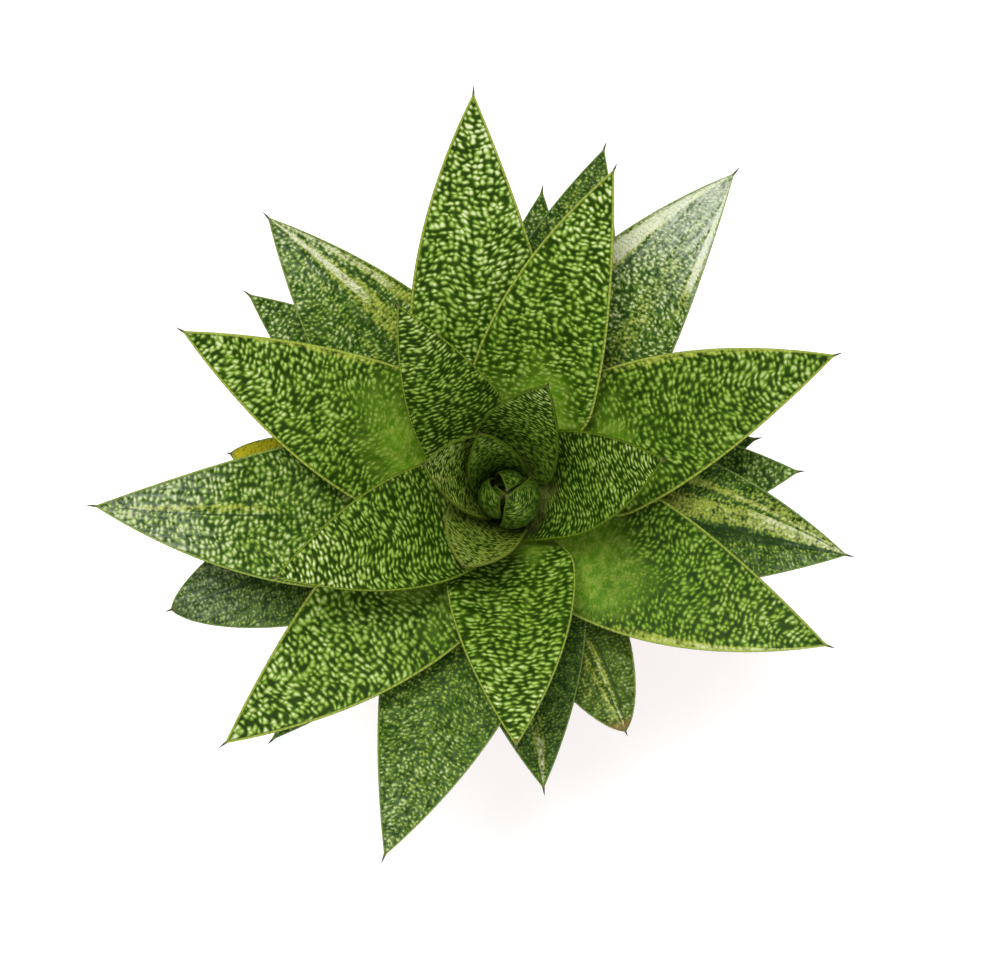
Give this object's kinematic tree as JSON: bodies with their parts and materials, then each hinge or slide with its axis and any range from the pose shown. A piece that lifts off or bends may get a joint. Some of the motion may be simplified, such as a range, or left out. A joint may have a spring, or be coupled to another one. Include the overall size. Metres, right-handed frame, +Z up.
{
  "type": "potted gasteria plant",
  "caption": "Small succulent: a dense spiral rosette of thick, pointed, pale-spotted green leaves on a short stem, in a plain tapered clay pot of soil that stands on a flat base.",
  "frame": {"origin": "centre of the pot's flat base, on the surface that it stands on", "axes": "+Z up along the pot's and the stem's axis; +Y towards the rosette's top edge as seen in plan, +X to its right"},
  "size_m": [0.1613, 0.1619, 0.1327],
  "materials": {
    "clay": "matte",
    "soil": "matte",
    "stem": "matte",
    "leaf": "satin",
    "bud": "satin"
  },
  "bodies": {
    "root": {"pot": "clay", "soil": "soil", "stem": "stem", "leaf_01": "leaf", "leaf_02": "leaf", "leaf_03": "leaf", "leaf_04": "leaf", "leaf_05": "leaf", "leaf_06": "leaf", "leaf_07": "leaf", "leaf_08": "leaf", "leaf_09": "leaf", "leaf_10": "leaf", "leaf_11": "leaf", "leaf_12": "leaf", "leaf_13": "leaf", "leaf_14": "leaf", "leaf_15": "leaf", "leaf_16": "leaf", "leaf_17": "leaf", "leaf_18": "leaf", "leaf_19": "leaf", "leaf_20": "leaf", "leaf_21": "leaf", "leaf_22": "leaf", "leaf_23": "leaf", "leaf_24": "leaf", "leaf_25": "leaf", "leaf_26": "leaf", "leaf_27": "leaf", "leaf_28": "leaf", "leaf_29": "leaf", "leaf_30": "bud", "leaf_31": "bud", "leaf_32": "bud", "leaf_33": "bud"}
  },
  "joints": []
}
